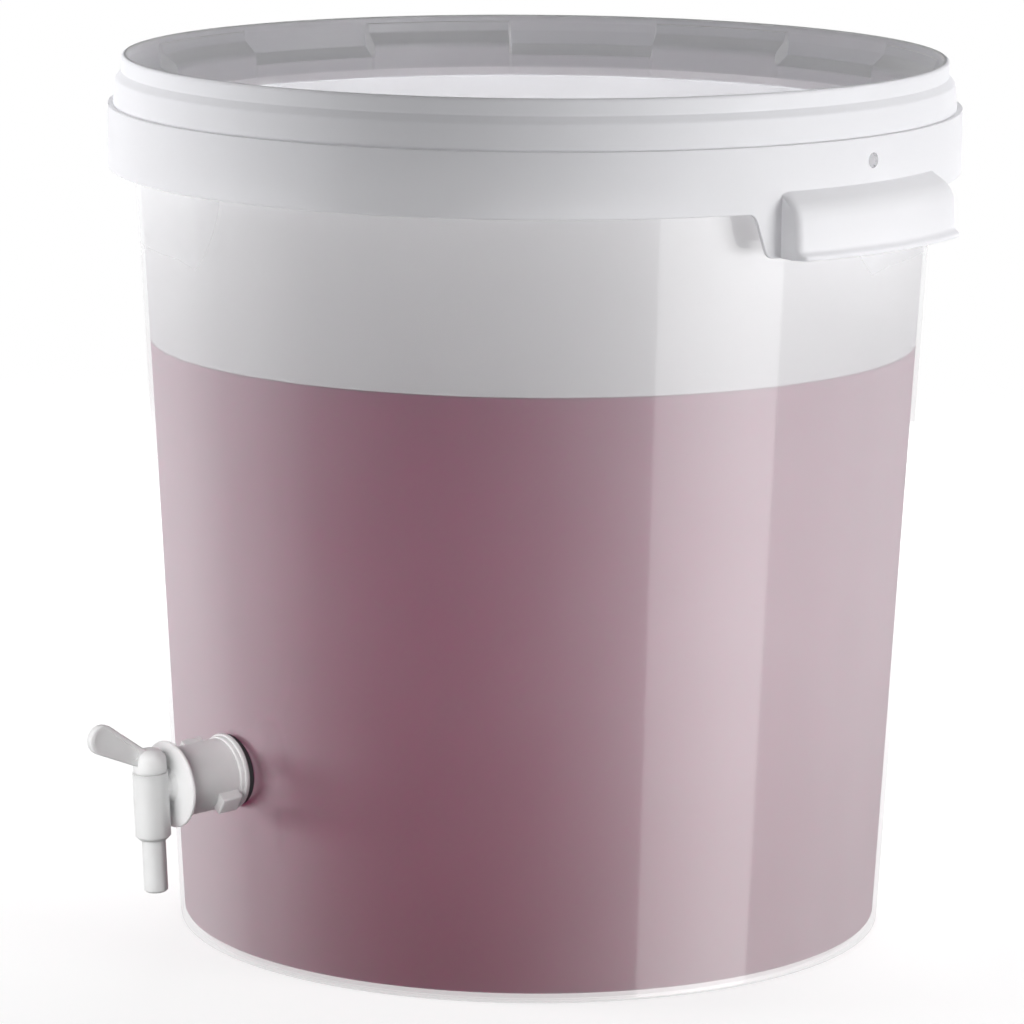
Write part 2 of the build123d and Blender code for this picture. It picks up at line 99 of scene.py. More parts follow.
# Stacking ring and its pockets inside the rim
RING_FOOT_Z = BUCKET_HEIGHT - 28.0
RING_JOG = 5.0
RING_STEP = 4.9
RING_IN = wall_inside(RING_FOOT_Z) - RING_STEP
RING_TOP_Z = BUCKET_HEIGHT - 12.5
RING_ROUND = 4.0
JOG_LIFT = 0.85
POCKET_COUNT = 8
POCKET_SPAN = 22.5
POCKET_SHOULDER_Z = BUCKET_HEIGHT - 13.0
POCKET_SHOULDER_IN = LIP_IN - 1.0
POCKET_FOOT_Z = BUCKET_HEIGHT - 17.5
POCKET_PANEL = 0.5
POCKET_EDGE = 0.7
RING_ROW = 0.5

# Hooded hand grips on the skirt
GRIP_ANGLE = 11.35
GRIP_SPAN = 32.1
GRIP_TOP_Z = BUCKET_HEIGHT - 39.5
GRIP_FOLD_Z = BUCKET_HEIGHT - 46.0
GRIP_FOOT_Z = BUCKET_HEIGHT - 66.5
GRIP_REACH = 10.5
GRIP_LEAN = 1.0
GRIP_FOLD_ROUND = 12.0
GRIP_WALL = 2.2
GRIP_CORNER = 4.0
GRIP_BEAD_OUT = 2.4
GRIP_BEAD_HEIGHT = 1.8
GRIP_BEAD_BLEND = 1.6
GRIP_BEAD_ROUND = 0.7
WEB_WIDTH_TOP = 126.1
WEB_WIDTH_FOOT = 114.1
WEB_ROUND = 4.0
SKIRT_HOLE_RADIUS = 3.2
SKIRT_HOLE_Z = BUCKET_HEIGHT - 30.4

# Tap hole in the wall
TAP_Z = 85.3
TAP_HOLE_RADIUS = 12.8

# Contents
FILL_LEVEL = 257.7
FILL_GAP = 0.1
MENISCUS = 1.2

# Columns of the bucket's mesh in degrees round the axis, and beside a pocket's side in widths of its edge
COLUMN_STEP = 2.0
COLUMN_APART = 0.02
POCKET_SIDE_COLUMNS = (-1.7, -1.0, -0.35, 0.35, 1.0, 1.7)

# Rows on the skirt and the band above it, and steps beside the hoods and along the webs
SKIRT_ROWS = 36
BAND_ROWS = 5
SIDE_STEP = 0.3
WEB_STEP = 0.75
ARC_STEPS = 5

# Sides of round meshes, the turn in degrees past which an edge stays sharp, and the gap that is merged
FILL_COLUMNS = 180
DRILL_SIDES = 48
FLOOR_SIDES = 96
SHARP_TURN = 32
SHARP_FITTING_TURN = 28
MERGE_GAP = 0.002


def linear(hex_colour):
    """Linear RGBA of an sRGB hex colour."""
    parts = [int(hex_colour[start:start + 2], 16) / 255 for start in (1, 3, 5)]
    return tuple(c / 12.92 if c <= 0.04045 else ((c + 0.055) / 1.055) ** 2.4 for c in parts) + (1.0,)


def add(tree, kind, settings=(), values=(), links=()):
    """Add a node with its settings, the values of its sockets and the links into them."""
    node = tree.nodes.new(kind)
    for name, value in dict(settings).items():
        setattr(node, name, value)
    for socket, value in dict(values).items():
        node.inputs[socket].default_value = value
    for socket, source in dict(links).items():
        tree.links.new(source, node.inputs[socket])
    return node


def new_material(name):
    """Empty node material and its tree."""
    material = bpy.data.materials.new(name)
    material.use_nodes = True
    material.node_tree.nodes.clear()
    return material, material.node_tree


def new_object(name, data):
    """Object in the scene with a mesh, a lamp or a camera."""
    obj = bpy.data.objects.new(name, data)
    bpy.context.scene.collection.objects.link(obj)
    return obj


def new_mesh(name, bm):
    """Mesh made from an edit mesh, which is then freed."""
    mesh = bpy.data.meshes.new(name)
    bm.to_mesh(mesh)
    bm.free()
    return mesh


def per_mm(size):
    """Texture scale on metre coordinates for features of a size in millimetres."""
    return 1 / (size * MM)


def unit(vector):
    """Vector of length one."""
    return vector / np.linalg.norm(vector)


def rounded(corners, steps=3, hold=0.4):
    """Points along straight runs whose corners, given as (across, up, round), become arcs.

    One more point each side of an arc, held off by a small distance, keeps the straight runs flat."""
    places = [np.array(corner[:2], float) for corner in corners]
    points = []
    for index, corner in enumerate(corners):
        here = places[index]
        if index in (0, len(corners) - 1) or corner[2] == 0:
            points.append(here)
            continue
        back = unit(places[index - 1] - here)
        ahead = unit(places[index + 1] - here)
        half_turn = (math.pi - math.acos(float(back @ ahead))) / 2
        tangent = corner[2] * math.tan(half_turn)
        centre = here + unit(back + ahead) * corner[2] / math.cos(half_turn)
        points.append(here + back * (tangent + hold))
        for step in range(steps + 1):
            turn = (2 * step / steps - 1) * half_turn
            spoke = math.cos(turn) * unit(here - centre) + math.sin(turn) * unit(ahead - back)
            points.append(centre + spoke * corner[2])
        points.append(here + ahead * (tangent + hold))
    return points


def curve_of(corners, places, steps=6):
    """Value of a rounded outline, given as (place, value, round) with rising places, at each place."""
    points = rounded(corners, steps, hold=0)
    return np.interp(places, [point[0] for point in points], [point[1] for point in points])


def smooth_step(low, high, places):
    """Soft change from 0 to 1."""
    share = np.clip((places - low) / (high - low), 0, 1)
    return share * share * (3 - 2 * share)


# Shape of the bucket, as radius and height over the angle


def from_grip(angles):
    """Angle from the nearer grip's middle, in degrees."""
    return (angles - GRIP_ANGLE + 90) % 180 - 90


def inside_side(angles, inset):
    """Distance inwards from the side of the nearer hood, along the skirt."""
    half = GRIP_SPAN / 2 - np.abs(from_grip(angles))
    return np.radians(half) * SKIRT_OUT - inset


def skirt_foot(angles):
    """Height of the skirt's lower edge, which hangs lower beside the grips."""
    across = np.abs(SKIRT_OUT * np.sin(np.radians(from_grip(angles))))
    outline = [
        (0, GRIP_FOOT_Z, 0),
        (WEB_WIDTH_FOOT / 2, GRIP_FOOT_Z, WEB_ROUND),
        (WEB_WIDTH_TOP / 2, SKIRT_Z, WEB_ROUND),
        (2 * SKIRT_OUT, SKIRT_Z, 0),
    ]
    return curve_of(outline, across)


def hood_reach(angles, heights, inset, corner):
    """How far the hood stands out from the skirt, for its outer skin or, with an inset, its inner one."""
    reach = curve_of([
        (GRIP_FOOT_Z - inset, GRIP_REACH + GRIP_LEAN, 0),
        (GRIP_FOLD_Z - inset / 2, GRIP_REACH, GRIP_FOLD_ROUND - inset),
        (GRIP_TOP_Z - inset, 0, SOFT_CORNER),
        (BUCKET_HEIGHT, 0, 0),
    ], heights)
    side = inside_side(angles, inset)
    along = np.clip(side, 0, corner)
    drop = corner - np.sqrt(corner ** 2 - (corner - along) ** 2)
    return np.where(side < 0, 0, np.clip(reach - drop, 0, None))


def bead_reach(angles, heights):
    """How far the bead along the hood's lower edge stands out from the hood."""
    profile = [
        (GRIP_FOOT_Z, GRIP_BEAD_OUT - GRIP_BEAD_ROUND, 0),
        (GRIP_FOOT_Z + GRIP_BEAD_ROUND / 2, GRIP_BEAD_OUT, GRIP_BEAD_ROUND / 4),
        (GRIP_FOOT_Z + GRIP_BEAD_HEIGHT, GRIP_BEAD_OUT, GRIP_BEAD_ROUND),
        (GRIP_FOOT_Z + GRIP_BEAD_HEIGHT + GRIP_BEAD_BLEND, 0, SOFT_CORNER),
        (BUCKET_HEIGHT, 0, 0),
    ]
    return curve_of(profile, heights) * smooth_step(-SIDE_STEP, GRIP_CORNER, inside_side(angles, 0))


def skirt_out(angles, heights):
    """Outer radius of the skirt with its hoods and beads."""
    return SKIRT_OUT + hood_reach(angles, heights, 0, GRIP_CORNER) + bead_reach(angles, heights)


def skirt_in(angles, heights):
    """Inner radius of the skirt, hollow behind the hoods."""
    return SKIRT_IN + hood_reach(angles, heights, GRIP_WALL, GRIP_CORNER - GRIP_WALL)


def ring_radius(heights):
    """Inner radius of the stacking ring between its pockets."""
    return curve_of([
        (RING_FOOT_Z, wall_inside(RING_FOOT_Z), 0),
        (RING_FOOT_Z + RING_JOG, RING_IN, SOFT_CORNER),
        (RING_TOP_Z, RING_IN, RING_ROUND),
        (CREASE_Z, CREASE_IN, SOFT_CORNER),
        (BUCKET_HEIGHT, LIP_IN, 0),
    ], heights)


def pocket_radius(heights):
    """Inner radius of the stacking ring in its pockets."""
    return curve_of([
        (RING_FOOT_Z, wall_inside(RING_FOOT_Z), 0),
        (RING_FOOT_Z + RING_JOG, RING_IN + POCKET_PANEL, SOFT_CORNER),
        (POCKET_FOOT_Z, RING_IN + POCKET_PANEL, SOFT_CORNER),
        (POCKET_SHOULDER_Z, POCKET_SHOULDER_IN, SOFT_CORNER),
        (CREASE_Z, LIP_IN, SOFT_CORNER),
        (BUCKET_HEIGHT, LIP_IN, 0),
    ], heights)


def column_angles():
    """Angles of the bucket's columns: an even turn, closer beside pockets, hoods and webs."""
    angles = list(np.arange(0, 360, COLUMN_STEP))
    pitch = 360 / POCKET_COUNT
    first_side = GRIP_ANGLE + pitch - POCKET_SPAN
    for side in np.arange(first_side, first_side + 360, pitch / 2):
        for place in POCKET_SIDE_COLUMNS:
            angles.append(side + math.degrees(place * POCKET_EDGE / RING_IN))
    arc = [1 - math.cos(math.radians(90 * step / ARC_STEPS)) for step in range(ARC_STEPS + 1)]
    offsets = [-4 * SIDE_STEP, -SIDE_STEP] + [GRIP_CORNER * share for share in arc]
    inner_corner = GRIP_CORNER - GRIP_WALL
    offsets += [GRIP_WALL - SIDE_STEP] + [GRIP_WALL + inner_corner * share for share in arc]
    web_places = np.arange(WEB_WIDTH_FOOT / 2 - WEB_ROUND, WEB_WIDTH_TOP / 2 + WEB_ROUND, WEB_STEP)
    angles_beside = [GRIP_SPAN / 2 - math.degrees(offset / SKIRT_OUT) for offset in offsets]
    angles_beside += [math.degrees(math.asin(place / SKIRT_OUT)) for place in web_places]
    for middle in (GRIP_ANGLE, GRIP_ANGLE + 180):
        for beside in angles_beside:
            angles += [middle + beside, middle - beside]
    ordered = np.sort(np.array(angles) % 360)
    apart = np.diff(ordered, append=ordered[0] + 360)
    return ordered[apart > COLUMN_APART]


def bucket_rows(angles):
    """Rows of the bucket's mesh from under the base, up the outside, over the lip and down to the floor.

    Each row is (radii, heights, zone, pocket depths)."""
    level = np.ones_like(angles)
    no_pocket = np.zeros_like(angles)
    rows = []

    def fixed(points, zone):
        rows.extend((level * point[0], level * point[1], zone, no_pocket) for point in points)

    # Underside, foot ring and outside of the wall
    foot_in = BASE_RADIUS - FOOT_WIDTH
    jog_foot = RING_FOOT_Z + JOG_LIFT
    fixed(rounded([
        (foot_in / 2, FOOT_HEIGHT, 0),
        (foot_in, FOOT_HEIGHT, SOFT_CORNER),
        (foot_in, 0, SOFT_CORNER),
        (BASE_RADIUS, 0, FOOT_ROUND),
        (wall_outside(TAP_Z), TAP_Z, 0),
        (wall_outside(SKIRT_Z / 2), SKIRT_Z / 2, 0),
        (wall_outside(SKIRT_Z), SKIRT_Z, 0),
        (wall_outside(jog_foot), jog_foot, SOFT_CORNER),
        (RING_IN + WALL, jog_foot + RING_JOG, 0),
    ]), "wall_out")
    # Hidden side of the stacking ring, the rim and the skirt
    for height in np.arange(jog_foot + RING_JOG + RING_ROW, STEP_Z, 3 * RING_ROW):
        lug = ring_radius(height + WALL / 2) + WALL
        pocket = pocket_radius(height + WALL / 2) + WALL
        rows.append((level * lug, level * height, "cavity", level * (pocket - lug)))
    last = ring_radius(STEP_Z + WALL / 2) + WALL
    cavity_out = BAND_TOP_OUT - SKIRT_WALL
    pocket = min(pocket_radius(STEP_Z) + WALL, cavity_out - SOFT_CORNER)
    rows.append((level * last, level * STEP_Z, "cavity", level * (pocket - last)))
    skirt_roof = LEDGE_Z - SKIRT_WALL
    fixed([(cavity_out, STEP_Z), (BAND_FOOT_OUT - SKIRT_WALL, skirt_roof), (SKIRT_IN, skirt_roof)], "cavity")

    hood_top = GRIP_TOP_Z + SOFT_CORNER
    foot = skirt_foot(angles)
    shares = [(1 + math.cos(math.pi * step / SKIRT_ROWS)) / 2 for step in range(SKIRT_ROWS)]
    for height in np.linspace(skirt_roof, hood_top, BAND_ROWS)[1:-1]:
        fixed([(SKIRT_IN, height)], "cavity")
    for share in shares:
        height = foot + SOFT_CORNER + (hood_top - foot - SOFT_CORNER) * share
        rows.append((skirt_in(angles, height), height, "cavity", no_pocket))
    # Lower edge and outside of the skirt, with one more row halfway round the edge's arc
    edge_in = skirt_in(angles, foot + SOFT_CORNER)
    edge_out = skirt_out(angles, foot + SKIRT_ROUND)
    rows.append((edge_in + SOFT_CORNER, foot, "rim", no_pocket))
    rows.append((edge_out - SKIRT_ROUND, foot, "rim", no_pocket))
    slant = SKIRT_ROUND * (1 - math.sqrt(0.5))
    rows.append((edge_out - slant, foot + slant, "rim", no_pocket))
    for share in reversed(shares):
        height = foot + SKIRT_ROUND + (hood_top - foot - SKIRT_ROUND) * share
        rows.append((skirt_out(angles, height), height, "rim", no_pocket))
    for height in np.linspace(hood_top, LEDGE_Z - 2 * LEDGE_ROUND, BAND_ROWS)[1:-1]:
        fixed([(SKIRT_OUT, height)], "rim")
    # Ledge, band and lip; the lip's inner half takes the stacking ring's material, painted greyer as painted
    # shade
    rim = rounded([
        (SKIRT_OUT, LEDGE_Z - 2 * LEDGE_ROUND, 0),
        (SKIRT_OUT, LEDGE_Z, LEDGE_ROUND),
        (BAND_FOOT_OUT, LEDGE_Z, 0),
        (BAND_FOOT_OUT - LEDGE_GROOVE, LEDGE_Z - LEDGE_GROOVE, 0),
        (BAND_FOOT_OUT - LEDGE_GROOVE, LEDGE_Z + LEDGE_GROOVE, 0),
        (BAND_TOP_OUT, STEP_Z, STEP_ROUND),
        (LIP_OUT, CREASE_Z, SOFT_CORNER),
        (LIP_OUT, BUCKET_HEIGHT, LIP_ROUND),
        (LIP_IN, BUCKET_HEIGHT, LIP_ROUND),
        (LIP_IN - LIP_DRAFT, LIP_TURN_Z, 0),
    ], steps=4)
    lip_turn = sum(point[0] > LIP_IN + LIP_ROUND or point[1] < LIP_TURN_Z for point in rim[:-1])
    fixed(rim[:lip_turn], "rim")
    fixed(rim[lip_turn:], "ring")
    # Stacking ring, inside of the wall and floor
    for height in np.arange(LIP_TURN_Z - RING_ROW, RING_FOOT_Z + RING_ROW, -RING_ROW):
        lug = ring_radius(height)
        rows.append((level * lug, level * height, "ring", level * (pocket_radius(height) - lug)))
    fixed(rounded([
        (wall_inside(RING_FOOT_Z), RING_FOOT_Z, 0),
        (wall_inside(RING_FOOT_Z - RING_JOG), RING_FOOT_Z - RING_JOG, 0),
        (wall_inside(SKIRT_Z / 2), SKIRT_Z / 2, 0),
        (wall_inside(TAP_Z), TAP_Z, 0),
        (wall_inside(FLOOR_TOP), FLOOR_TOP, FLOOR_ROUND),
        (foot_in / 2, FLOOR_TOP, 0),
    ], steps=4), "wall_in")
    return rows


def pocket_tree():
    """Geometry Nodes that push the ring's points out into evenly spaced pockets and give it its finish."""
    tree = bpy.data.node_groups.new("stacking_pockets", "GeometryNodeTree")
    inputs = {"Shell": "NodeSocketGeometry", "Count": "NodeSocketFloat", "Span": "NodeSocketFloat",
              "First": "NodeSocketFloat", "Edge": "NodeSocketFloat",
              "Finish": "NodeSocketMaterial", "Slot": "NodeSocketInt"}
    for name, kind in inputs.items():
        tree.interface.new_socket(name, in_out="INPUT", socket_type=kind)
    tree.interface.new_socket("Shell", in_out="OUTPUT", socket_type="NodeSocketGeometry")
    given = tree.nodes.new("NodeGroupInput").outputs
    place = add(tree, "GeometryNodeInputPosition")
    depth = add(tree, "GeometryNodeInputNamedAttribute", {"data_type": "FLOAT"}, {"Name": "pocket_depth"})
    flat = add(tree, "ShaderNodeVectorMath", {"operation": "MULTIPLY"}, {1: (1, 1, 0)}, {0: place.outputs[0]})
    outwards = add(tree, "ShaderNodeVectorMath", {"operation": "NORMALIZE"}, (), {0: flat.outputs[0]})
    parts = add(tree, "ShaderNodeSeparateXYZ", (), (), {0: place.outputs[0]})
    angle = add(tree, "ShaderNodeMath", {"operation": "ARCTAN2"}, (),
                {0: parts.outputs["Y"], 1: parts.outputs["X"]})
    turned = add(tree, "ShaderNodeMath", {"operation": "SUBTRACT"}, (),
                 {0: angle.outputs[0], 1: given["First"]})
    pitch = add(tree, "ShaderNodeMath", {"operation": "DIVIDE"}, {0: 2 * math.pi}, {1: given["Count"]})
    half = add(tree, "ShaderNodeMath", {"operation": "MULTIPLY"}, {1: 0.5}, {0: pitch.outputs[0]})
    away = add(tree, "ShaderNodeMath", {"operation": "PINGPONG"}, (),
               {0: turned.outputs[0], 1: half.outputs[0]})
    half_span = add(tree, "ShaderNodeMath", {"operation": "MULTIPLY"}, {1: 0.5}, {0: given["Span"]})
    soft_in = add(tree, "ShaderNodeMath", {"operation": "SUBTRACT"}, (),
                  {0: half_span.outputs[0], 1: given["Edge"]})
    soft_out = add(tree, "ShaderNodeMath", {"operation": "ADD"}, (),
                   {0: half_span.outputs[0], 1: given["Edge"]})
    mask = add(tree, "ShaderNodeMapRange", {"interpolation_type": "SMOOTHSTEP"}, {"To Min": 1, "To Max": 0},
               {"Value": away.outputs[0], "From Min": soft_in.outputs[0], "From Max": soft_out.outputs[0]})
    push = add(tree, "ShaderNodeMath", {"operation": "MULTIPLY"}, (),
               {0: mask.outputs[0], 1: depth.outputs["Attribute"]})
    offset = add(tree, "ShaderNodeVectorMath", {"operation": "SCALE"}, (),
                 {0: outwards.outputs[0], "Scale": push.outputs[0]})
    moved = add(tree, "GeometryNodeSetPosition", (), (),
                {"Geometry": given["Shell"], "Offset": offset.outputs[0]})
    whole = add(tree, "GeometryNodeRealizeInstances", (), (), {"Geometry": moved.outputs[0]})
    index = add(tree, "GeometryNodeInputMaterialIndex")
    # Inputs 2 and 3 are the two whole numbers that are compared
    on_ring = add(tree, "FunctionNodeCompare", {"data_type": "INT", "operation": "EQUAL"}, (),
                  {2: index.outputs[0], 3: given["Slot"]})
    finished = add(tree, "GeometryNodeSetMaterial", (), (), {
        "Geometry": whole.outputs[0],
        "Selection": on_ring.outputs[0],
        "Material": given["Finish"],
    })
    add(tree, "NodeGroupOutput", (), (), {0: finished.outputs[0]})
    return tree


def settle(name, obj):
    """Plain object with the finished mesh of an object that has modifiers, which is then removed."""
    graph = bpy.context.evaluated_depsgraph_get()
    mesh = bpy.data.meshes.new_from_object(obj.evaluated_get(graph))
    bpy.data.objects.remove(obj)
    mesh.name = name
    return new_object(name, mesh)


def smooth_shade(mesh, angle):
    """Smooth shading that stays sharp where faces meet at more than an angle in degrees."""
    mesh.shade_smooth()
    mesh.set_sharp_from_angle(angle=math.radians(angle))


def drill(name, radius, start, direction, length):
    """Round cutter along a direction, for holes."""
    bm = bmesh.new()
    turn = Vector((0, 0, 1)).rotation_difference(Vector(direction)).to_matrix().to_4x4()
    place = Matrix.Translation(Vector(start) * MM) @ turn @ Matrix.Translation((0, 0, length * MM / 2))
    bmesh.ops.create_cone(bm, cap_ends=True, segments=DRILL_SIDES, radius1=radius * MM,
                          radius2=radius * MM, depth=length * MM, matrix=place)
    return new_object(name, new_mesh(name, bm))


def make_bucket(materials):
    """The one-piece tub: turned shell, pockets pressed in by nodes, holes drilled."""
    angles = column_angles()
    rows = bucket_rows(angles)
    count = len(angles)
    turn = np.radians(angles)
    radii = np.array([row[0] for row in rows])
    heights = np.array([row[1] for row in rows])
    points = np.stack([radii * np.cos(turn), radii * np.sin(turn), heights], axis=-1).reshape(-1, 3) * MM
    poles = np.array([(0, 0, FOOT_HEIGHT), (0, 0, FLOOR_TOP)]) * MM
    first_pole = len(points)
    depths = np.concatenate([np.concatenate([row[3] for row in rows]), [0, 0]]) * MM
    faces = []
    zones = []
    zone_names = list(materials)
    for lower in range(len(rows) - 1):
        zone = zone_names.index(rows[lower + 1][2])
        for column in range(count):
            after = (column + 1) % count
            low, high = lower * count, (lower + 1) * count
            faces.append((low + column, low + after, high + after, high + column))
            zones.append(zone)
    # A point in the middle closes the base and the floor
    top = (len(rows) - 1) * count
    for column in range(count):
        after = (column + 1) % count
        faces.append((first_pole, after, column))
        zones.append(zone_names.index("wall_out"))
        faces.append((first_pole + 1, top + column, top + after))
        zones.append(zone_names.index("wall_in"))
    mesh = bpy.data.meshes.new("bucket_shell")
    mesh.from_pydata(np.concatenate([points, poles]).tolist(), [], faces)
    mesh.polygons.foreach_set("material_index", zones)
    mesh.attributes.new("pocket_depth", "FLOAT", "POINT").data.foreach_set("value", depths)
    for material in materials.values():
        mesh.materials.append(material)
    shell = new_object("bucket_shell", mesh)

    pockets = shell.modifiers.new("pockets", "NODES")
    pockets.node_group = pocket_tree()
    pitch = 360 / POCKET_COUNT
    given = {
        "Count": float(POCKET_COUNT),
        "Span": math.radians(POCKET_SPAN),
        "First": math.radians(GRIP_ANGLE + pitch - POCKET_SPAN / 2),
        "Edge": POCKET_EDGE / RING_IN,
        "Finish": materials["ring"],
        "Slot": zone_names.index("ring"),
    }
    for item in pockets.node_group.interface.items_tree:
        if item.name in given:
            pockets[item.identifier] = given[item.name]
    # Tap hole square to the wall, and the small hole above each grip
    draft = math.radians(WALL_DRAFT)
    outwards = (0, -math.cos(draft), -math.sin(draft))
    seat = Vector((0, -wall_outside(TAP_Z), TAP_Z))
    cutters = [drill("tap_drill", TAP_HOLE_RADIUS, seat - 3 * WALL * Vector(outwards), outwards, 6 * WALL)]
    for middle in (GRIP_ANGLE, GRIP_ANGLE + 180):
        way = Vector((math.cos(math.radians(middle)), math.sin(math.radians(middle)), 0))
        start = way * (SKIRT_IN - SKIRT_WALL) + Vector((0, 0, SKIRT_HOLE_Z))
        cutters.append(drill("skirt_drill", SKIRT_HOLE_RADIUS, start, way, 3 * SKIRT_WALL))
    for cutter in cutters:
        cut = shell.modifiers.new(cutter.name, "BOOLEAN")
        cut.operation = "DIFFERENCE"
        cut.solver = "MANIFOLD"
        cut.object = cutter
    bucket = settle("bucket_moulding", shell)
    for cutter in cutters:
        bpy.data.objects.remove(cutter)
    smooth_shade(bucket.data, SHARP_TURN)
    return bucket


def make_fill(materials):
    """The liquid in the bucket, a little clear of the wall, with a meniscus at its edge.

    The first material is its side and foot, the second its surface."""
    side = wall_inside(FILL_LEVEL) - FILL_GAP
    foot = FLOOR_TOP + FILL_GAP
    profile = rounded([
        (0, foot, 0),
        (wall_inside(foot) - FILL_GAP, foot, FLOOR_ROUND),
        (wall_inside(TAP_Z) - FILL_GAP, TAP_Z, 0),
        (side, FILL_LEVEL, SOFT_CORNER / 4),
        (side - MENISCUS, FILL_LEVEL - MENISCUS, MENISCUS),
        (0, FILL_LEVEL - MENISCUS, 0),
    ], steps=5, hold=0)
    bm = bmesh.new()
    rings = []
    for radius, height in profile[1:-1]:
        ring = []
        for column in range(FILL_COLUMNS):
            angle = 2 * math.pi * column / FILL_COLUMNS
            point = Vector((radius * math.cos(angle), radius * math.sin(angle), height))
            ring.append(bm.verts.new(point * MM))
        rings.append(ring)
    radii = [point[0] for point in profile[1:-1]]
    for index, (low, high) in enumerate(zip(rings, rings[1:])):
        for column in range(FILL_COLUMNS):
            after = (column + 1) % FILL_COLUMNS
            face = bm.faces.new((low[column], low[after], high[after], high[column]))
            face.material_index = int(radii[index + 1] < radii[index])
    bm.faces.new(list(reversed(rings[0])))
    bm.faces.new(rings[-1]).material_index = 1
    mesh = new_mesh("wine_fill", bm)
    for material in materials:
        mesh.materials.append(material)
    smooth_shade(mesh, SHARP_TURN)
    return new_object("wine_fill", mesh)


def make_fitting(node, material):
    """Smooth copy of a fitting's solid, shaded afresh from its merged faces."""
    bm = bmesh.new()
    bm.from_mesh(frame["nodes"][node].data)
    bmesh.ops.remove_doubles(bm, verts=bm.verts, dist=MERGE_GAP * MM)
    mesh = new_mesh(node + "_merged", bm)
    if "custom_normal" in mesh.attributes:
        mesh.attributes.remove(mesh.attributes["custom_normal"])
    mesh.materials.clear()
    mesh.materials.append(material)
    smooth_shade(mesh, SHARP_FITTING_TURN)
    merged = new_object(node + "_merged", mesh)
    merged.modifiers.new("flat_faces", "WEIGHTED_NORMAL").keep_sharp = True
    return settle(node + "_finish", merged)


# Materials


def wall_outside_material():
    """Natural polypropylene, polished mould side of the wall: a thin clear gloss over a faint milky haze."""
    material, tree = new_material("polypropylene_wall_polished")
    place = add(tree, "ShaderNodeTexCoord")
    mottle = add(tree, "ShaderNodeTexNoise", (), {"Scale": per_mm(60), "Detail": 4.0},
                 {"Vector": place.outputs["Object"]})
    haze = add(tree, "ShaderNodeMapRange", (), {"To Min": 0.005, "To Max": 0.025},
               {"Value": mottle.outputs["Fac"]})
    # The haze grows from the liquid's level up to the skirt, and with the light's slanting way through the
    # wall
    parts = add(tree, "ShaderNodeSeparateXYZ", (), (), {0: place.outputs["Object"]})
    haze_towards_rim = add(tree, "ShaderNodeMapRange", {"interpolation_type": "SMOOTHSTEP"},
                {"From Min": FILL_LEVEL * MM, "From Max": SKIRT_Z * MM, "To Min": 0.3, "To Max": 0.8},
                {"Value": parts.outputs["Z"]})
    limit = add(tree, "ShaderNodeMath", {"operation": "MULTIPLY"}, {1: 0.38}, {0: haze_towards_rim.outputs[0]})
    edge = add(tree, "ShaderNodeLayerWeight", (), {"Blend": 0.5})
    long_way = add(tree, "ShaderNodeMath", {"operation": "POWER"}, {1: 1.5}, {0: edge.outputs["Facing"]})
    thick = add(tree, "ShaderNodeMath", {"operation": "MULTIPLY_ADD"}, (),
                {0: long_way.outputs[0], 1: haze_towards_rim.outputs[0], 2: haze.outputs[0]})
    most = add(tree, "ShaderNodeMath", {"operation": "MINIMUM"}, (),
               {0: thick.outputs[0], 1: limit.outputs[0]})
    clear = add(tree, "ShaderNodeBsdfTransparent")
    milk = add(tree, "ShaderNodeBsdfDiffuse", (), {"Color": linear("#f4f4f6")})
    body = add(tree, "ShaderNodeMixShader", (), (),
               {0: most.outputs[0], 1: clear.outputs[0], 2: milk.outputs[0]})
    satin = add(tree, "ShaderNodeBsdfGlossy", (), {"Roughness": 0.55})
    sheen = add(tree, "ShaderNodeMixShader", (), {0: 0.1}, {1: body.outputs[0], 2: satin.outputs[0]})
    gloss = add(tree, "ShaderNodeBsdfGlossy", (), {"Roughness": 0.07})
    fresnel = add(tree, "ShaderNodeFresnel", (), {"IOR": 1.49})
    face = add(tree, "ShaderNodeNewGeometry")
    front = add(tree, "ShaderNodeMath", {"operation": "SUBTRACT"}, {0: 1.0}, {1: face.outputs["Backfacing"]})
    soft = add(tree, "ShaderNodeMath", {"operation": "MINIMUM"}, {1: 0.12}, {0: fresnel.outputs[0]})
    share = add(tree, "ShaderNodeMath", {"operation": "MULTIPLY"}, (),
                {0: soft.outputs[0], 1: front.outputs[0]})
    skin = add(tree, "ShaderNodeMixShader", (), (),
               {0: share.outputs[0], 1: sheen.outputs[0], 2: gloss.outputs[0]})
    add(tree, "ShaderNodeOutputMaterial", (), (), {"Surface": skin.outputs[0]})
    return material


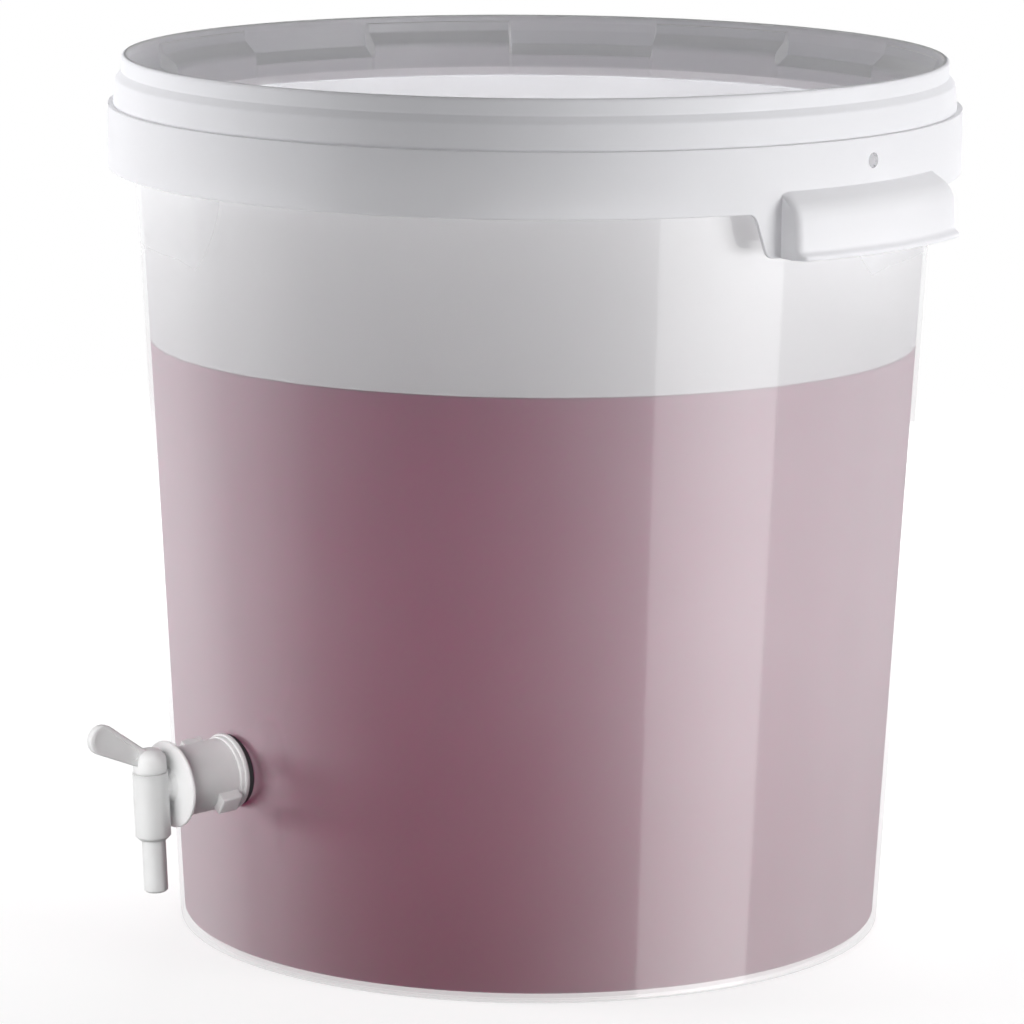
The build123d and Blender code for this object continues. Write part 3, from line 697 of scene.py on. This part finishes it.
def wall_inside_material():
    """Natural polypropylene, inner side of the wall: milky, passes light but blurs what is behind."""
    material, tree = new_material("polypropylene_wall_milky")
    place = add(tree, "ShaderNodeTexCoord")
    mottle = add(tree, "ShaderNodeTexNoise", (), {"Scale": per_mm(35), "Detail": 5.0},
                 {"Vector": place.outputs["Object"]})
    cloudy = add(tree, "ShaderNodeMapRange", (), {"To Min": 0.72, "To Max": 0.76},
                 {"Value": mottle.outputs["Fac"]})
    parts = add(tree, "ShaderNodeSeparateXYZ", (), (), {0: place.outputs["Object"]})
    # Towards the bottom the wall passes more light and shows less milky haze
    clearer_low_down = add(tree, "ShaderNodeMapRange", {"interpolation_type": "SMOOTHSTEP"},
                  {"From Max": 2 * TAP_Z * MM, "To Min": 0.08, "To Max": 0.0}, {"Value": parts.outputs["Z"]})
    passing = add(tree, "ShaderNodeMath", {"operation": "ADD"}, (),
                  {0: cloudy.outputs[0], 1: clearer_low_down.outputs[0]})
    milk = add(tree, "ShaderNodeBsdfDiffuse", (), {"Color": linear("#f2f2f5")})
    glow = add(tree, "ShaderNodeBsdfTranslucent", (), {"Color": linear("#e7e7e8")})
    body = add(tree, "ShaderNodeMixShader", (), (),
               {0: passing.outputs[0], 1: milk.outputs[0], 2: glow.outputs[0]})
    clear = add(tree, "ShaderNodeBsdfTransparent")
    skin = add(tree, "ShaderNodeMixShader", (), {0: 0.988}, {1: clear.outputs[0], 2: body.outputs[0]})
    add(tree, "ShaderNodeOutputMaterial", (), (), {"Surface": skin.outputs[0]})
    return material


def cavity_material():
    """Natural polypropylene, hidden side of the rim and skirt: a faint haze over the milky side."""
    material, tree = new_material("polypropylene_rim_hidden_side")
    place = add(tree, "ShaderNodeTexCoord")
    mottle = add(tree, "ShaderNodeTexNoise", (), {"Scale": per_mm(40), "Detail": 4.0},
                 {"Vector": place.outputs["Object"]})
    haze = add(tree, "ShaderNodeMapRange", (), {"To Min": 0.06, "To Max": 0.12},
               {"Value": mottle.outputs["Fac"]})
    clear = add(tree, "ShaderNodeBsdfTransparent")
    milk = add(tree, "ShaderNodeBsdfDiffuse", (), {"Color": linear("#f2f2f4")})
    body = add(tree, "ShaderNodeMixShader", (), (),
               {0: haze.outputs[0], 1: clear.outputs[0], 2: milk.outputs[0]})
    add(tree, "ShaderNodeOutputMaterial", (), (), {"Surface": body.outputs[0]})
    return material


def rim_material(name, passing, dark, light, painted_glow):
    """Natural polypropylene of the rim, skirt, grips and stacking ring: satin and milky white.

    It passes a share of the light, and faces that turn from the outward direction, such as slopes, lip tops
    and pocket sides, are painted paler, a painted glow for light that catches them."""
    material, tree = new_material(name)
    place = add(tree, "ShaderNodeTexCoord")
    flow = add(tree, "ShaderNodeTexNoise", (), {"Scale": per_mm(40), "Detail": 4.0},
               {"Vector": place.outputs["Object"]})
    tint = add(tree, "ShaderNodeValToRGB", (), (), {0: flow.outputs["Fac"]})
    tint.color_ramp.elements[0].color = linear(dark)
    tint.color_ramp.elements[1].color = linear(light)
    # Painted glow: the further the normal turns from the outward direction, the more the colour is mixed
    # towards the paler one
    flat = add(tree, "ShaderNodeVectorMath", {"operation": "MULTIPLY"}, {1: (1, 1, 0)},
               {0: place.outputs["Object"]})
    outwards = add(tree, "ShaderNodeVectorMath", {"operation": "NORMALIZE"}, (), {0: flat.outputs[0]})
    face = add(tree, "ShaderNodeNewGeometry")
    facing = add(tree, "ShaderNodeVectorMath", {"operation": "DOT_PRODUCT"}, (),
                 {0: outwards.outputs[0], 1: face.outputs["Normal"]})
    square = add(tree, "ShaderNodeMath", {"operation": "ABSOLUTE"}, (), {0: facing.outputs["Value"]})
    across = add(tree, "ShaderNodeMapRange", (),
                 {"From Min": 0.4, "From Max": 0.95, "To Min": 1.0, "To Max": 0.0},
                 {"Value": square.outputs[0]})
    # Inputs 6 and 7 and output 2 are the colours
    colour = add(tree, "ShaderNodeMix", {"data_type": "RGBA"}, {7: linear(painted_glow)},
                 {0: across.outputs[0], 6: tint.outputs[0]})
    rough = add(tree, "ShaderNodeMapRange", (), {"To Min": 0.42, "To Max": 0.55},
                {"Value": flow.outputs["Fac"]})
    grain = add(tree, "ShaderNodeTexNoise", (), {"Scale": per_mm(0.9), "Detail": 2.0},
                {"Vector": place.outputs["Object"]})
    bump = add(tree, "ShaderNodeBump", (), {"Strength": 0.08, "Distance": 0.05 * MM},
               {"Height": grain.outputs["Fac"]})
    satin = add(tree, "ShaderNodeBsdfPrincipled", (), {"IOR": 1.49},
                {"Base Color": colour.outputs[2], "Roughness": rough.outputs[0], "Normal": bump.outputs[0]})
    glow = add(tree, "ShaderNodeBsdfTranslucent", (), {"Color": linear("#eaeaec")})
    skin = add(tree, "ShaderNodeMixShader", (), {0: passing}, {1: satin.outputs[0], 2: glow.outputs[0]})
    add(tree, "ShaderNodeOutputMaterial", (), (), {"Surface": skin.outputs[0]})
    return material


def fitting_material():
    """Natural polyethylene of the tap and its collar: waxy white with a soft gloss and a faint glow."""
    material, tree = new_material("polyethylene_fitting")
    place = add(tree, "ShaderNodeTexCoord")
    flow = add(tree, "ShaderNodeTexNoise", (), {"Scale": per_mm(9), "Detail": 3.0},
               {"Vector": place.outputs["Object"]})
    tint = add(tree, "ShaderNodeValToRGB", (), (), {0: flow.outputs["Fac"]})
    tint.color_ramp.elements[0].color = linear("#f4f4f4")
    tint.color_ramp.elements[1].color = linear("#fafafa")
    wave = add(tree, "ShaderNodeTexNoise", (), {"Scale": per_mm(5), "Detail": 1.0},
               {"Vector": place.outputs["Object"]})
    bump = add(tree, "ShaderNodeBump", (), {"Strength": 0.15, "Distance": 0.1 * MM},
               {"Height": wave.outputs["Fac"]})
    waxy = add(tree, "ShaderNodeBsdfPrincipled", (),
               {"IOR": 1.5, "Roughness": 0.38, "Subsurface Weight": 0.8, "Subsurface Scale": 6 * MM,
                "Subsurface Radius": (1.0, 1.0, 1.0)},
               {"Base Color": tint.outputs[0], "Normal": bump.outputs[0]})
    add(tree, "ShaderNodeOutputMaterial", (), (), {"Surface": waxy.outputs[0]})
    return material


def rubber_material(name, dark, light):
    """Moulded rubber: matt, slightly mottled."""
    material, tree = new_material(name)
    place = add(tree, "ShaderNodeTexCoord")
    mottle = add(tree, "ShaderNodeTexNoise", (), {"Scale": per_mm(1.5), "Detail": 3.0},
                 {"Vector": place.outputs["Object"]})
    tint = add(tree, "ShaderNodeValToRGB", (), (), {0: mottle.outputs["Fac"]})
    tint.color_ramp.elements[0].color = linear(dark)
    tint.color_ramp.elements[1].color = linear(light)
    matt = add(tree, "ShaderNodeBsdfPrincipled", (), {"IOR": 1.52, "Roughness": 0.7},
               {"Base Color": tint.outputs[0]})
    add(tree, "ShaderNodeOutputMaterial", (), (), {"Surface": matt.outputs[0]})
    return material


def wine_material(name, passing, dark, light):
    """Young fruit wine: cloudy, deep rose purple, darker towards the bottom, with a smooth wet surface."""
    material, tree = new_material(name)
    place = add(tree, "ShaderNodeTexCoord")
    cloud = add(tree, "ShaderNodeTexNoise", (), {"Scale": per_mm(90), "Detail": 3.0},
                {"Vector": place.outputs["Object"]})
    tint = add(tree, "ShaderNodeValToRGB", (), (), {0: cloud.outputs["Fac"]})
    tint.color_ramp.elements[0].color = linear(dark)
    tint.color_ramp.elements[1].color = linear(light)
    wet = add(tree, "ShaderNodeBsdfPrincipled", (), {"IOR": 1.34, "Roughness": 0.12},
              {"Base Color": tint.outputs[0]})
    # The glow's colour runs darker towards the bottom
    parts = add(tree, "ShaderNodeSeparateXYZ", (), (), {0: place.outputs["Object"]})
    depth = add(tree, "ShaderNodeMapRange", (), {"From Max": FILL_LEVEL * MM}, {"Value": parts.outputs["Z"]})
    deep = add(tree, "ShaderNodeValToRGB", (), (), {0: depth.outputs[0]})
    deep.color_ramp.elements[0].color = linear("#b83484")
    deep.color_ramp.elements[1].color = linear("#d844ac")
    glow = add(tree, "ShaderNodeBsdfTranslucent", (), (), {"Color": deep.outputs[0]})
    body = add(tree, "ShaderNodeMixShader", (), {0: passing}, {1: wet.outputs[0], 2: glow.outputs[0]})
    add(tree, "ShaderNodeOutputMaterial", (), (), {"Surface": body.outputs[0]})
    return material


# Studio: pale floor, white surroundings and soft lamps, in metres and degrees, with the lens in millimetres

CAMERA_AZIMUTH = 52.4
CAMERA_DISTANCE = 2.27758
CAMERA_HEIGHT = 0.61172
CAMERA_PITCH = 10.761
CAMERA_YAW = 0.217
CAMERA_ROLL = 0.42
CAMERA_LENS = 186.14
SENSOR = 36.0


def make_camera():
    """Camera at the viewing angle of the photograph."""
    lens = bpy.data.cameras.new("camera")
    lens.lens = CAMERA_LENS
    lens.sensor_width = SENSOR
    camera = new_object("camera", lens)
    azimuth = math.radians(CAMERA_AZIMUTH)
    place = Vector((
        math.sin(azimuth) * CAMERA_DISTANCE,
        -math.cos(azimuth) * CAMERA_DISTANCE,
        CAMERA_HEIGHT,
    ))
    turn = Matrix.Rotation(azimuth + math.radians(CAMERA_YAW), 4, "Z")
    tilt = Matrix.Rotation(math.radians(90 - CAMERA_PITCH), 4, "X")
    roll = Matrix.Rotation(math.radians(CAMERA_ROLL), 4, "Z")
    camera.matrix_world = Matrix.Translation(place) @ turn @ tilt @ roll
    bpy.context.scene.camera = camera


def make_world():
    """White surroundings for the camera; mirrored or seen through, white behind and dark in front."""
    world = bpy.data.worlds.new("studio")
    bpy.context.scene.world = world
    world.use_nodes = True
    tree = world.node_tree
    tree.nodes.clear()
    path = add(tree, "ShaderNodeLightPath")
    way = add(tree, "ShaderNodeTexCoord")
    azimuth = math.radians(CAMERA_AZIMUTH)
    # White wall behind the object and a grey ceiling
    behind = add(tree, "ShaderNodeVectorMath", {"operation": "DOT_PRODUCT"},
                 {1: (-math.sin(azimuth), math.cos(azimuth), 0)}, {0: way.outputs["Generated"]})
    back = add(tree, "ShaderNodeMapRange", {"interpolation_type": "SMOOTHSTEP"},
               {"From Min": -0.05, "From Max": 0.65, "To Min": 0.1}, {"Value": behind.outputs["Value"]})
    parts = add(tree, "ShaderNodeSeparateXYZ", (), (), {0: way.outputs["Generated"]})
    above = add(tree, "ShaderNodeMapRange", {"interpolation_type": "SMOOTHSTEP"},
                {"From Min": 0.2, "From Max": 0.7, "To Max": 0.6}, {"Value": parts.outputs["Z"]})
    # Pale walls to its right and left, mirrored in polish alone
    across = add(tree, "ShaderNodeVectorMath", {"operation": "DOT_PRODUCT"},
                 {1: (math.cos(azimuth), math.sin(azimuth), 0)}, {0: way.outputs["Generated"]})
    right = add(tree, "ShaderNodeMapRange", {"interpolation_type": "SMOOTHSTEP"},
                {"From Min": 0.55, "From Max": 0.95}, {"Value": across.outputs["Value"]})
    left = add(tree, "ShaderNodeMapRange", {"interpolation_type": "SMOOTHSTEP"},
               {"From Min": -0.99, "From Max": -0.86, "To Min": 0.6, "To Max": 0.0},
               {"Value": across.outputs["Value"]})
    beside = add(tree, "ShaderNodeMath", {"operation": "MAXIMUM"}, (),
                 {0: right.outputs[0], 1: left.outputs[0]})
    polish = add(tree, "ShaderNodeMath", {"operation": "MULTIPLY"}, (),
                 {0: beside.outputs[0], 1: path.outputs["Is Glossy Ray"]})
    over = add(tree, "ShaderNodeMath", {"operation": "MAXIMUM"}, (),
               {0: back.outputs[0], 1: above.outputs[0]})
    around = add(tree, "ShaderNodeMath", {"operation": "MAXIMUM"}, (),
                 {0: over.outputs[0], 1: polish.outputs[0]})
    # Even light on matt surfaces, weaker from above
    overhead = add(tree, "ShaderNodeMapRange", {"interpolation_type": "SMOOTHSTEP"},
                   {"From Min": 0.1, "From Max": 0.9, "To Min": 0.195, "To Max": 0.09},
                   {"Value": parts.outputs["Z"]})
    fill = add(tree, "ShaderNodeBackground", (), {"Color": linear("#ffffff")},
               {"Strength": overhead.outputs[0]})
    studio = add(tree, "ShaderNodeBackground", (), {"Color": linear("#ffffff")},
                 {"Strength": around.outputs[0]})
    white = add(tree, "ShaderNodeBackground", (), {"Color": linear("#ffffff"), "Strength": 1.0})
    shown = add(tree, "ShaderNodeMath", {"operation": "MAXIMUM"}, (),
                {0: path.outputs["Is Glossy Ray"], 1: path.outputs["Is Transmission Ray"]})
    bounced = add(tree, "ShaderNodeMixShader", (), (),
                  {0: shown.outputs[0], 1: fill.outputs[0], 2: studio.outputs[0]})
    both = add(tree, "ShaderNodeMixShader", (), (),
               {0: path.outputs["Is Camera Ray"], 1: bounced.outputs[0], 2: white.outputs[0]})
    add(tree, "ShaderNodeOutputWorld", (), (), {"Surface": both.outputs[0]})


# Floor: where it starts and ends to fade out, and where it starts and ends to brighten round the object
FLOOR_RADIUS = 1.6
FLOOR_FADE_START = 0.7
FLOOR_FADE_END = 1.5
FLOOR_LIFT_START = 0.3
FLOOR_LIFT_END = 0.8


def make_floor():
    """Pale floor that keeps the object's shadow and fades into the white surroundings.

    Light that bounces off it to the object is dimmer than the floor that is seen."""
    bm = bmesh.new()
    bmesh.ops.create_circle(bm, cap_ends=True, segments=FLOOR_SIDES, radius=FLOOR_RADIUS)
    mesh = new_mesh("floor", bm)
    material, tree = new_material("pale_floor")
    place = add(tree, "ShaderNodeTexCoord")
    away = add(tree, "ShaderNodeVectorMath", {"operation": "LENGTH"}, (), {0: place.outputs["Object"]})
    fade = add(tree, "ShaderNodeMapRange", {"interpolation_type": "SMOOTHSTEP"},
               {"From Min": FLOOR_FADE_START, "From Max": FLOOR_FADE_END},
               {"Value": away.outputs["Value"]})
    path = add(tree, "ShaderNodeLightPath")
    matt = add(tree, "ShaderNodeBsdfDiffuse", (), {"Color": linear("#bcbcbc")})
    lift = add(tree, "ShaderNodeMapRange", (),
               {"From Min": FLOOR_LIFT_START, "From Max": FLOOR_LIFT_END, "To Min": 0.72},
               {"Value": away.outputs["Value"]})
    glow = add(tree, "ShaderNodeEmission", (), (), {"Strength": lift.outputs[0]})
    shown = add(tree, "ShaderNodeAddShader", (), (), {0: matt.outputs[0], 1: glow.outputs[0]})
    bounce = add(tree, "ShaderNodeBsdfDiffuse", (), {"Color": linear("#6a6a6a")})
    seen = add(tree, "ShaderNodeMath", {"operation": "MAXIMUM"}, (),
               {0: path.outputs["Is Camera Ray"], 1: path.outputs["Is Transmission Ray"]})
    pale = add(tree, "ShaderNodeMixShader", (), (),
               {0: seen.outputs[0], 1: bounce.outputs[0], 2: shown.outputs[0]})
    clear = add(tree, "ShaderNodeBsdfTransparent")
    skin = add(tree, "ShaderNodeMixShader", (), (),
               {0: fade.outputs[0], 1: pale.outputs[0], 2: clear.outputs[0]})
    add(tree, "ShaderNodeOutputMaterial", (), (), {"Surface": skin.outputs[0]})
    mesh.materials.append(material)
    floor = new_object("floor", mesh)
    floor.visible_glossy = False
    floor.visible_shadow = False


# Lamps: degrees to the right of the camera, then in metres foot, top, distance from the axis and width,
# then radiance, and whether polished surfaces mirror it
LAMPS = {
    "right_softbox": (61.0, 0.0, 0.4, 2.2, 1.0, 43.0, False),
    "right_window": (53.5, -1.15, 1.85, 1.5, 1.06, 3.0, True),
    "left_softbox": (-96.0, 0.0, 0.4, 2.2, 1.0, 56.0, False),
    "back_softbox": (162.0, 0.0, 0.5, 1.3, 1.2, 13.0, False),
    "tap_softbox": (-40.0, 0.1, 0.9, 1.6, 1.6, 7.0, False),
}


def make_lamps():
    """Soft upright panels round the object, each facing its axis; the window is only mirrored in polish."""
    for name, (azimuth, foot, top, distance, width, radiance, mirrored) in LAMPS.items():
        light = bpy.data.lights.new(name, "AREA")
        light.shape = "RECTANGLE"
        light.size = width
        light.size_y = top - foot
        light.energy = radiance * math.pi * width * (top - foot)
        lamp = new_object(name, light)
        turn = math.radians(CAMERA_AZIMUTH + azimuth)
        middle = Vector((0, 0, (foot + top) / 2))
        aim = Vector((-math.sin(turn), math.cos(turn), 0))
        face = aim.to_track_quat("-Z", "Y").to_matrix().to_4x4()
        lamp.matrix_world = Matrix.Translation(middle - aim * distance) @ face
        lamp.visible_camera = False
        lamp.visible_glossy = mirrored
        lamp.visible_diffuse = not mirrored
        lamp.visible_transmission = not mirrored


def link_lamp(name, pieces, state, shadows=False):
    """Let a lamp light only these pieces (INCLUDE) or all others (EXCLUDE), or cast only such shadows."""
    group = bpy.data.collections.new(name + ("_shadows" if shadows else "_lit"))
    for piece in pieces:
        group.objects.link(piece)
    for entry in group.collection_objects:
        entry.light_linking.link_state = state
    linking = bpy.data.objects[name].light_linking
    if shadows:
        linking.blocker_collection = group
    else:
        linking.receiver_collection = group


# Pieces

SLOT_OF_NODE = {row["node"]: row["material_slot"] for row in frame["record"]["subparts"]}
NODES_OF_BODY = frame["record"]["behaviour"]["bodies"]
BODY_OF_NODE = {node: body for body, nodes in NODES_OF_BODY.items() for node in nodes}
IN_THE_LIQUID = ("inner_seal", "backing_nut")
TAP_OUTSIDE = ("collar", "tap_body", "tap_key")

bucket = make_bucket({
    "wall_out": wall_outside_material(),
    "cavity": cavity_material(),
    "rim": rim_material("polypropylene_rim_satin", 0.52, "#eeeef0", "#f4f4f6", "#f4f4f6"),
    # Painted shade: the stacking ring is the rim's plastic painted greyer, and its slopes and pocket sides
    # are painted near white as painted glow
    "ring": rim_material("polypropylene_stacking_ring", 0.12, "#e2e2e5", "#e8e8eb", "#fdfdfd"),
    "wall_in": wall_inside_material(),
})
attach(bucket, "vessel")
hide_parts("bucket")

fill = make_fill([
    wine_material("young_wine_cloudy", 0.84, "#78345c", "#843c66"),
    # Painted shade: the surface is the same wine painted darker and duller than its side
    wine_material("young_wine_surface", 0.05, "#4c2a40", "#583048"),
])
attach(fill, "vessel")

finishes = {
    "white_fitting": fitting_material(),
    "grey_rubber": rubber_material("nitrile_seal_grey", "#3c3c3e", "#48484b"),
    "black_rubber": rubber_material("nitrile_o_ring_black", "#141414", "#1e1e1e"),
}
tap_pieces = {}
for node, slot in SLOT_OF_NODE.items():
    if node == "bucket":
        continue
    piece = make_fitting(node, finishes[slot])
    tap_pieces[node] = piece
    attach(piece, BODY_OF_NODE[node])
    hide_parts(node)
    # The cloudy liquid hides these, so they neither shade it nor show in its glow
    if node in IN_THE_LIQUID:
        piece.visible_shadow = False
        piece.visible_diffuse = False
        piece.visible_transmission = False

make_camera()
make_world()
make_floor()
make_lamps()
# The side lamps that show the wall's curve are too strong for the tap, which has a softer one of its own
tap_outside = [tap_pieces[node] for node in TAP_OUTSIDE]
link_lamp("tap_softbox", tap_outside, "INCLUDE")
link_lamp("left_softbox", tap_outside, "EXCLUDE")
link_lamp("right_softbox", tap_outside, "EXCLUDE")
link_lamp("left_softbox", tap_outside, "EXCLUDE", True)
bpy.context.scene.view_settings.view_transform = "Standard"
